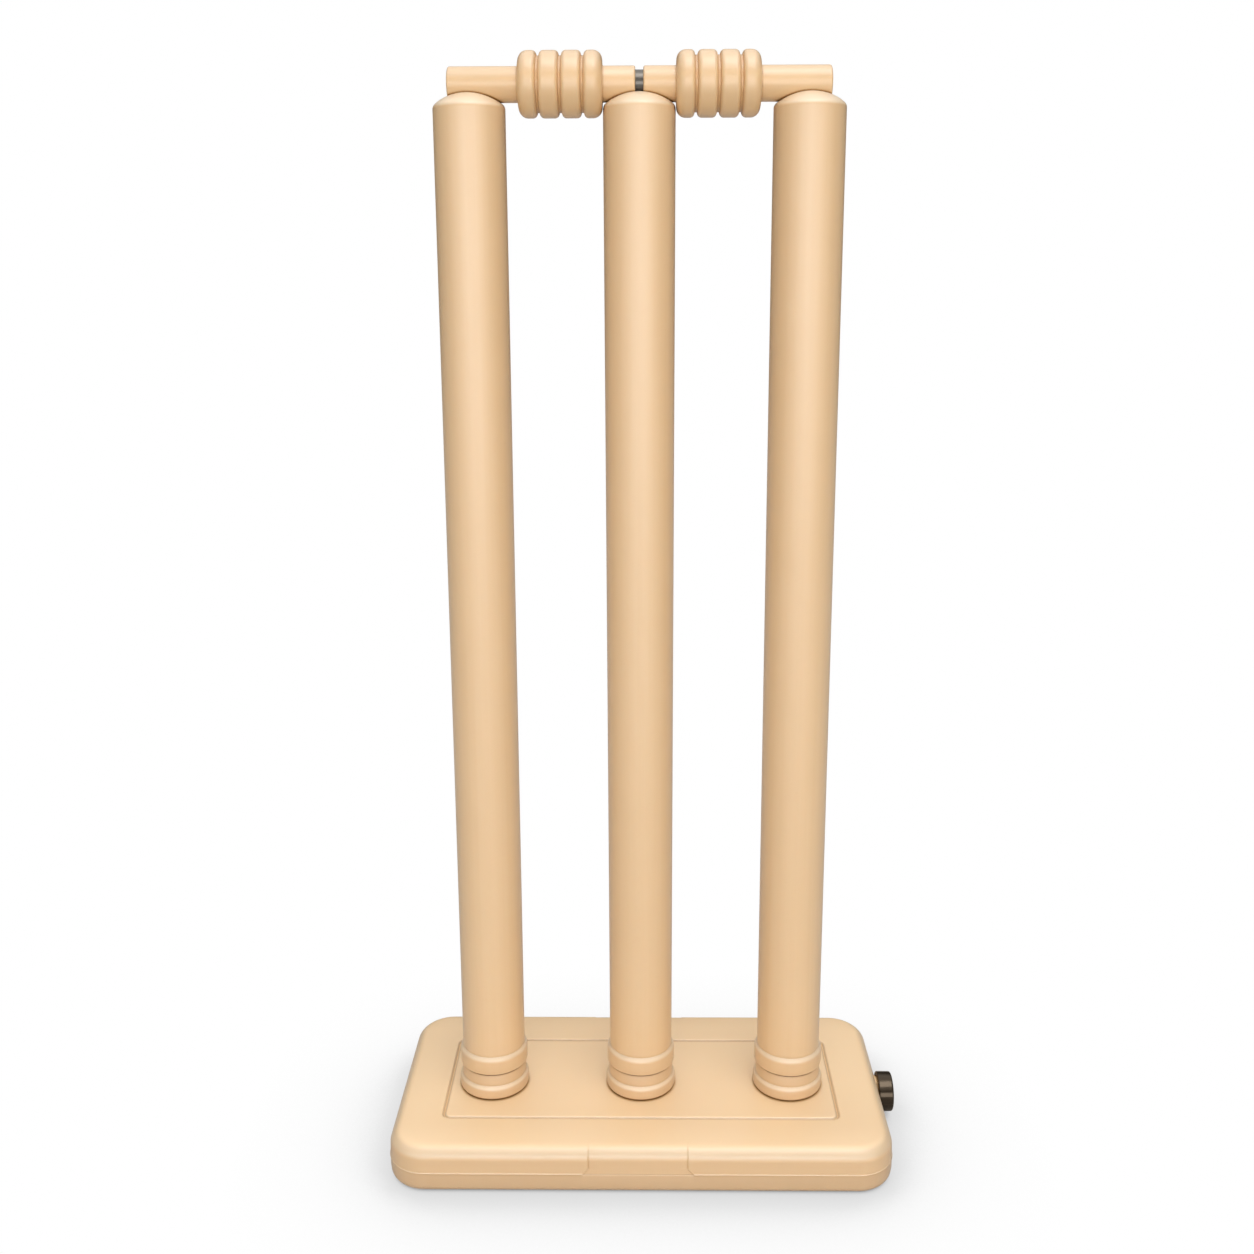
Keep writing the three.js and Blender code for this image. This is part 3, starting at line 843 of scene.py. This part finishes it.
peg_low, peg_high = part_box("bail_joiner")
bail_axis = (peg_low + peg_high) / 2
for side, name in ((-1, "left"), (1, "right")):
    node = f"bail_{name}"
    low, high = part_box(node)
    inner_end = high.x if side < 0 else low.x
    mesh = along_x(turned(bail_profile(), bail_plastic), side,
                   (inner_end, bail_axis.y, bail_axis.z))
    add_piece(f"{node}_moulding", mesh, bail_plastic, f"{name}_bail", [node])

peg_half = (peg_high.x - peg_low.x) / 2 / MM
peg = along_x(turned([
    (0, -peg_half),
    *arc((PEG_RADIUS - PEG_CHAMFER, PEG_CHAMFER - peg_half), PEG_CHAMFER, -90, 0, 5),
    *arc((PEG_RADIUS - PEG_CHAMFER, peg_half - PEG_CHAMFER), PEG_CHAMFER, 0, 90, 5),
    (0, peg_half),
], peg_plastic), 1, bail_axis)
add_piece("bail_peg", peg, peg_plastic, "joiner", ["bail_joiner"])


# Base

base_low, base_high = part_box("base_shell")
base_half_width = -base_low.x / MM
base_half_depth = (base_high.y - base_low.y) / 2 / MM
base_setback = (base_high.y + base_low.y) / 2 / MM
FRONT, RIGHT, BACK, LEFT = (0, -1), (1, 0), (0, 1), (-1, 0)


def spaced(start, end, largest):
    """Even points from a start to an end, with no span over the largest."""
    count = max(1, math.ceil(abs(end - start) / largest))
    return [start + (end - start) * i / count for i in range(count + 1)]


def perimeter(half_width, half_depth, radius, long_stops, side_stops, corner_steps):
    """Columns round a rounded rectangle, from its front left: a foot inside and a direction."""
    wide, deep = half_width - radius, half_depth - radius
    columns = []
    sides = [
        (FRONT, [(x, -deep) for x in long_stops]),
        (RIGHT, [(wide, y) for y in side_stops]),
        (BACK, [(x, deep) for x in reversed(long_stops)]),
        (LEFT, [(-wide, y) for y in reversed(side_stops)]),
    ]
    for direction, feet in sides:
        columns += [(foot, direction) for foot in feet]
        start = math.atan2(direction[1], direction[0])
        foot = feet[-1]
        for step in range(1, corner_steps):
            angle = start + math.pi / 2 * step / corner_steps
            columns.append((foot, (math.cos(angle), math.sin(angle))))
    return columns


def base_rows():
    """Rows of the base's side and crowned top edge: the inset of the full side, the inset of
    the band and the height."""
    rows = []
    low, high = BASE_BOTTOM_ROUNDING, BASE_TOP_ROUNDING
    flush = SEAM_RIDGE
    recess = flush + BAND_DEPTH
    start = flush + SIDE_DRAFT
    for inset, z in arc((low, low), low, -90, -180, BOTTOM_ROUNDING_STEPS):
        rows.append((inset + start, inset + start, z))
    # The ridge of the seam, with the band's inset growing in from below it
    for inset, band, lift in (
        (flush + 0.02, flush + 0.02, -6.5), (flush + 0.02, recess - 0.05, -1.2),
        (flush + 0.02, recess, -0.4), (flush, recess + 0.12, -0.1),
        (0.25, recess + 0.2, 0), (0.05, recess + 0.12, 0.1), (0, recess, 0.25),
        (0.03, recess, 0.4), (0.15, recess, 0.65), (0.3, recess, 0.85), (flush - 0.03, recess, 1),
    ):
        rows.append((inset, band, SEAM_HEIGHT + lift))
    top_of_side = BASE_HEIGHT - CROWN_DROP - high
    chamfer_top = SEAM_HEIGHT + BAND_CHAMFER + BAND_EDGE_REACH
    for z in np.linspace(SEAM_HEIGHT + SEAM_RIDGE_TOP, chamfer_top, BAND_ROWS):
        drift = SIDE_DRAFT * (z - SEAM_HEIGHT) / (top_of_side - SEAM_HEIGHT)
        rows.append((flush + drift, flush + drift + BAND_DEPTH, z))
    for inset, z in arc((high, top_of_side), high, 180, TOP_ROUNDING_END, TOP_ROUNDING_STEPS):
        rows.append((inset + start, inset + start + BAND_DEPTH, z))
    edge, _, height = rows[-1]
    for share in np.linspace(0, 1, CROWN_ROWS + 1)[1:]:
        inset = edge + (CROWN_REACH - edge) * share
        crown = BASE_HEIGHT - (BASE_HEIGHT - height) * (1 - share) ** 2
        rows.append((inset, inset + BAND_DEPTH * (1 - share), crown))
    return rows


def band_share(x, z, direction):
    """How much of the band's inset a point on the side has: all of it between the band's edges,
    which spread at 45 degrees just above the seam and melt away below it."""
    if direction[0] != 0:
        return 0.0
    half = BAND_HALF_WIDTH + min(BAND_CHAMFER, max(0.0, SEAM_HEIGHT + BAND_CHAMFER - z))
    below_seam = min(1.0, max(0.0, SEAM_HEIGHT - z))
    softness = BAND_EDGE_SOFTNESS + BAND_FOOT_SOFTNESS * below_seam
    past = abs(x - BAND_CENTRE) - half
    t = min(1.0, max(0.0, 0.5 - past / (2 * softness)))
    return t * t * (3 - 2 * t)


def band_line(x, z, direction):
    """Depth of the fine line that the edges of the mould's insert leave beside the band."""
    if direction[0] != 0 or z < SEAM_HEIGHT + BAND_CHAMFER:
        return 0.0
    past = abs(x - BAND_CENTRE) - BAND_HALF_WIDTH
    return BAND_LINE_DEPTH * math.exp(-(past / BAND_EDGE_SOFTNESS) ** 2)


def grid_faces(shape, rings):
    """Quads between rings of vertices that run anticlockwise, seen from outside, going up."""
    for lower, upper in zip(rings, rings[1:]):
        for i in range(len(lower)):
            j = (i + 1) % len(lower)
            shape.faces.new((lower[i], lower[j], upper[j], upper[i]))


def ring_edges(shape, ring):
    """The edges between a ring's neighbouring vertices."""
    return [shape.edges.get((ring[i], ring[(i + 1) % len(ring)])) for i in range(len(ring))]


def fill_between(shape, rings, up):
    """Fills a flat region inside the first ring and outside the others."""
    edges = [edge for ring in rings for edge in ring_edges(shape, ring)]
    made = bmesh.ops.triangle_fill(shape, use_beauty=True, edges=edges)
    for face in (g for g in made["geom"] if isinstance(g, bmesh.types.BMFace)):
        face.normal_update()
        if (face.normal.z > 0) != up:
            face.normal_flip()


def side_columns():
    """Columns round the base, closer together where the edges of the bands are."""
    inner = BAND_HALF_WIDTH - BAND_EDGE_REACH
    outer = BAND_HALF_WIDTH + BAND_CHAMFER + BAND_EDGE_REACH
    edge_zone = list(np.arange(inner, outer + BAND_EDGE_SPAN / 2, BAND_EDGE_SPAN))
    left_zone = [BAND_CENTRE - x for x in reversed(edge_zone)]
    right_zone = [BAND_CENTRE + x for x in edge_zone]
    wide = base_half_width - BASE_CORNER_RADIUS
    deep = base_half_depth - BASE_CORNER_RADIUS
    stops = spaced(-wide, left_zone[0], LONG_SPAN) + left_zone[1:-1]
    stops += spaced(left_zone[-1], right_zone[0], BAND_SPAN) + right_zone[1:-1]
    stops += spaced(right_zone[-1], wide, LONG_SPAN)
    return perimeter(base_half_width, base_half_depth, BASE_CORNER_RADIUS, stops,
                     spaced(-deep, deep, SIDE_SPAN), BASE_CORNER_STEPS)


def add_side(shape):
    """The base's underside and side, up to the ring that it returns, on the flat top."""
    columns = side_columns()
    rings = []
    for full, band, z in base_rows():
        ring = []
        for (x, y), (dx, dy) in columns:
            share = band_share(x, z, (dx, dy))
            inset = full + (band - full) * share + band_line(x, z, (dx, dy))
            reach = BASE_CORNER_RADIUS - inset
            ring.append(shape.verts.new((x + dx * reach, y + dy * reach + base_setback, z)))
        rings.append(ring)
    grid_faces(shape, rings)
    # The underside is one flat face with a ring of its own inside the rounding
    across, along = UNDERSIDE_RING
    foot = [shape.verts.new((v.co.x * across, (v.co.y - base_setback) * along + base_setback, 0))
            for v in rings[0]]
    grid_faces(shape, [foot, rings[0]])
    fill_between(shape, [foot], False)
    return rings[-1]


def add_groove_frame(shape):
    """The groove frame on top, with its outer and its inner ring returned."""
    half_depth = (FRAME_BACK + FRAME_FRONT) / 2
    middle_y = (FRAME_BACK - FRAME_FRONT) / 2
    wide = FRAME_HALF_WIDTH - FRAME_CORNER_RADIUS
    deep = half_depth - FRAME_CORNER_RADIUS
    columns = perimeter(FRAME_HALF_WIDTH, half_depth, FRAME_CORNER_RADIUS,
                        spaced(-wide, wide, FRAME_SPAN), spaced(-deep, deep, FRAME_SPAN),
                        FRAME_CORNER_STEPS)
    rings = []
    for inset, drop in FRAME_SECTION:
        reach = FRAME_CORNER_RADIUS - inset
        rings.append([
            shape.verts.new((x + dx * reach, y + dy * reach + middle_y, BASE_HEIGHT + drop))
            for (x, y), (dx, dy) in columns
        ])
    grid_faces(shape, rings)
    return rings[0], rings[-1]


def add_socket(shape, centre):
    """A blind socket at a place along X, with the ring round its rim returned."""
    ease = SOCKET_RIM_ROUNDING
    fillet = SOCKET_FLOOR_FILLET
    floor = BASE_HEIGHT - SOCKET_DEPTH
    section = [
        (SOCKET_RADIUS + ease + SOCKET_RIM_FLAT, BASE_HEIGHT),
        *arc((SOCKET_RADIUS + ease, BASE_HEIGHT - ease), ease, 90, 180, 6),
        *arc((SOCKET_RADIUS - fillet, floor + fillet), fillet, 0, -90, 5),
        (SOCKET_RADIUS / 2, floor),
    ]
    angles = [math.tau * i / SOCKET_STEPS for i in range(SOCKET_STEPS)]
    rings = [[
        shape.verts.new((centre + radius * math.cos(a), radius * math.sin(a), z)) for a in angles
    ] for radius, z in section]
    grid_faces(shape, rings)
    shape.faces.new(rings[-1])
    return rings[0]


def base_mesh():
    """The base without its neck, as one closed skin."""
    shape = bmesh.new()
    edge_of_top = add_side(shape)
    frame_outside, frame_inside = add_groove_frame(shape)
    fill_between(shape, [edge_of_top, frame_outside], True)
    rims = [add_socket(shape, centre_of(f"stump_{name}").x / MM) for name in SIDES]
    fill_between(shape, [frame_inside, *rims], True)
    bmesh.ops.scale(shape, vec=(MM, MM, MM), verts=shape.verts)
    mesh = bpy.data.meshes.new("base")
    shape.to_mesh(mesh)
    shape.free()
    return mesh


# The neck is joined to the base, and its bore is blind behind the wall
neck_axis = centre_of("filler_cap")
seal_low, seal_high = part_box("cap_seal")
neck_length = (seal_low.x - base_half_width * MM) / MM - SEAT_GAP
lip = NECK_LIP_ROUNDING
neck = turned([
    (0, NECK_FLOOR - NECK_DEPTH_IN_WALL),
    (NECK_BORE_RADIUS, NECK_FLOOR - NECK_DEPTH_IN_WALL),
    *arc((NECK_BORE_RADIUS + lip, neck_length - lip), lip, 180, 90, 4),
    *arc((NECK_RADIUS - lip, neck_length - lip), lip, 90, 0, 4),
    *[(NECK_RADIUS + out, rise) for out, rise in NECK_ROOT],
    (0, -NECK_DEPTH_IN_WALL),
], base_plastic, NECK_STEPS)
neck_root = (base_half_width * MM, neck_axis.y, neck_axis.z)
neck = outward(along_x(neck, 1, neck_root))
neck_thread = along_x(thread(NECK_RADIUS, THREAD_START, base_plastic), 1, neck_root)
neck = joined(neck, neck_thread)
base = joined(outward(base_mesh()), neck)
add_piece("base_moulding", base, base_plastic, "base", ["base_shell"],
          BASE_SHARP_ANGLE)


# Cap and seal

cap_low, cap_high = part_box("filler_cap")
cap_length = (cap_high.x - cap_low.x) / MM
cap_radius = (cap_high.z - cap_low.z) / 2 / MM
roof = cap_length - CAP_TOP
bend, mouth, edge = CAP_BORE_ROUNDING, CAP_MOUTH_ROUNDING, CAP_EDGE_ROUNDING
cap = turned([
    (0, roof),
    *arc((CAP_BORE_RADIUS - bend, roof - bend), bend, 90, 0, 3),
    *arc((CAP_BORE_RADIUS + mouth, mouth), mouth, 180, 270, 3),
    *arc((cap_radius - edge, edge), edge, -90, 0, 5),
    *arc((cap_radius - CAP_CHAMFER, cap_length - CAP_CHAMFER), CAP_CHAMFER, 0, 90, 10),
    (0, cap_length),
], cap_plastic)
# The cap's thread lies half a pitch past the neck's, between its turns
standoff = cap_low.x / MM - base_half_width
cap_thread_start = THREAD_START + THREAD_PITCH / 2 - standoff
cap = joined(outward(cap), thread(CAP_BORE_RADIUS, cap_thread_start, cap_plastic))
cap = along_x(cap, 1, (cap_low.x, neck_axis.y, neck_axis.z))
add_piece("filler_cap_moulding", cap, cap_plastic, "cap", ["filler_cap"])

seal_thick = (seal_high.x - seal_low.x) / MM
seal_outer = (seal_high.z - seal_low.z) / 2 / MM
ease = SEAL_ROUNDING
seal = turned([
    *arc((NECK_BORE_RADIUS + ease, ease), ease, 180, 270, 3),
    *arc((seal_outer - ease, ease), ease, -90, 0, 3),
    *arc((seal_outer - ease, seal_thick - ease), ease, 0, 90, 3),
    *arc((NECK_BORE_RADIUS + ease, seal_thick - ease), ease, 90, 180, 3),
    (NECK_BORE_RADIUS, ease),
], rubber, SEAL_STEPS)
seal = along_x(seal, 1, (seal_low.x, neck_axis.y, neck_axis.z))
add_piece("cap_seal_ring", seal, rubber, "seal", ["cap_seal"])


# Stage and lights

def add_floor():
    """A plain white floor. The eye sees on it the shade that whatever stands near takes away,
    a neutral grey, and further out it is as white as the background."""
    mesh = bpy.data.meshes.new("floor")
    half, drop = FLOOR_REACH, -FLOOR_DROP
    corners = [(-half, -half, drop), (half, -half, drop), (half, half, drop), (-half, half, drop)]
    mesh.from_pydata(corners, [], [(0, 1, 2, 3)])
    material, tree, place = new_material("studio_floor")
    path = add(tree, "ShaderNodeLightPath").outputs
    seen = path["Is Camera Ray"]
    away = add(tree, "ShaderNodeVectorMath", {"operation": "LENGTH"}, {0: place}).outputs["Value"]
    far = eased(tree, away, *SHADE_FADES)
    open_sky = add(tree, "ShaderNodeAmbientOcclusion", {"samples": 8}, {
        "Distance": SHADE_REACH,
    }).outputs["AO"]
    brightness = calc(tree, "MAXIMUM", curved(tree, open_sky, SHADE_CURVE), far)
    matt = add(tree, "ShaderNodeBsdfDiffuse", None, {"Color": linear("#b0b0b0")})
    bright = add(tree, "ShaderNodeEmission", None, {
        "Color": (1, 1, 1, 1), "Strength": brightness,
    })
    blended = add(tree, "ShaderNodeMixShader", None, {
        0: seen, 1: matt.outputs[0], 2: bright.outputs[0],
    })
    add(tree, "ShaderNodeOutputMaterial", None, {"Surface": blended.outputs[0]})
    mesh.materials.append(material)
    floor = bpy.data.objects.new("floor", mesh)
    bpy.context.scene.collection.objects.link(floor)


def add_world(level_light, overhead_light, mirrored_light):
    """Light from all round that grows stronger overhead, more so for what the surfaces mirror,
    and a white background for the eye."""
    world = bpy.data.worlds.new("studio")
    bpy.context.scene.world = world
    world.use_nodes = True
    tree = world.node_tree
    tree.nodes.clear()
    towards = add(tree, "ShaderNodeTexCoord").outputs["Generated"]
    height = add(tree, "ShaderNodeSeparateXYZ", None, {0: towards}).outputs["Z"]
    dome = eased(tree, height, *DOME_RISE, level_light, overhead_light)
    mirrored = eased(tree, height, *MIRRORED_RISE, level_light / 2, mirrored_light)
    path = add(tree, "ShaderNodeLightPath").outputs
    lit = add(tree, "ShaderNodeMix", None, {
        "Factor": path["Is Glossy Ray"], 2: dome, 3: mirrored,
    }).outputs[0]
    strength = add(tree, "ShaderNodeMix", None, {
        "Factor": path["Is Camera Ray"], 2: lit, 3: 1.0,
    }).outputs[0]
    sky = add(tree, "ShaderNodeBackground", None, {"Color": (1, 1, 1, 1), "Strength": strength})
    add(tree, "ShaderNodeOutputWorld", None, {"Surface": sky.outputs[0]})


def add_softbox(name, place, aim, width, height, power):
    """A soft rectangular studio lamp."""
    data = bpy.data.lights.new(name, "AREA")
    data.shape = "RECTANGLE"
    data.size = width
    data.size_y = height
    data.energy = power
    lamp = bpy.data.objects.new(name, data)
    lamp.location = place
    lamp.rotation_euler = (Vector(aim) - Vector(place)).to_track_quat("-Z", "Y").to_euler()
    bpy.context.scene.collection.objects.link(lamp)
    return lamp


add_floor()
add_world(level_light=0.14, overhead_light=0.66, mirrored_light=1.4)
add_softbox("key_softbox", (0.7, -1.5, 5.0), (0, 0, 0.3), 2.8, 2.8, 100)
add_softbox("front_softbox", (0.1, -5.0, 1.0), (0, 0, 0.4), 5.6, 2.2, 170)
fill = add_softbox("back_fill", (-0.6, 2.4, 3.4), (0, 0.1, 0), 4.0, 2.6, 38)
fill.visible_glossy = False
# Panels that only the sheen shows, which broaden the highlights of the round pieces
for name, place, width, height, power in (
    ("left_sheen_panel", (-3.0, -3.0, 0.6), 2.4, 2.4, 26),
    ("front_sheen_panel", (-0.35, -4.4, 0.6), 2.6, 2.4, 8),
    ("right_sheen_panel", (2.8, -3.2, 0.6), 2.4, 2.4, 33),
    ("overhead_sheen_panel", (0, -0.6, 3.4), 2.6, 2.6, 18),
):
    panel = add_softbox(name, place, (0, 0, 0.35), width, height, power)
    panel.visible_diffuse = False

bpy.context.scene.view_settings.view_transform = "Standard"
